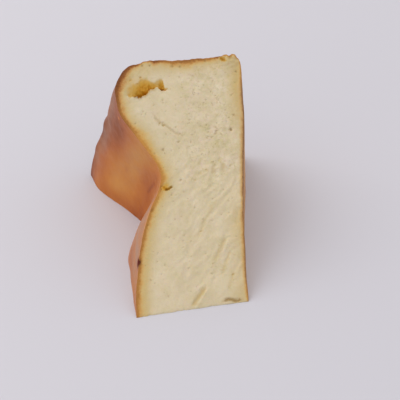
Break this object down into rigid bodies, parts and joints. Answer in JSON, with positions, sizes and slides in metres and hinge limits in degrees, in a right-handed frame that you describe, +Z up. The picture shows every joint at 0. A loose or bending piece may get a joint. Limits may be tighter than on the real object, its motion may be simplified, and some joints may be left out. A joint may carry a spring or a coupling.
{
  "type": "basque cheesecake slice",
  "caption": "Wedge of burnt-top baked cheesecake lying on its cut face, with a browned rippled skin, flat base, rounded rim and a small torn hollow in the cream cut.",
  "frame": {"origin": "middle of the underside of the slice's box, on the surface that it lies on", "axes": "+Z up, away from the resting cut face; +Y from the tip edge to the rim; +X out of the baked base, so the browned skin faces -X"},
  "size_m": [0.0768, 0.1206, 0.0736],
  "materials": {
    "cheesecake": "satin baked custard crumb, with a browned satin skin on the top, rim and base"
  },
  "bodies": {
    "root": {"cheesecake_slice": "cheesecake"}
  },
  "joints": []
}
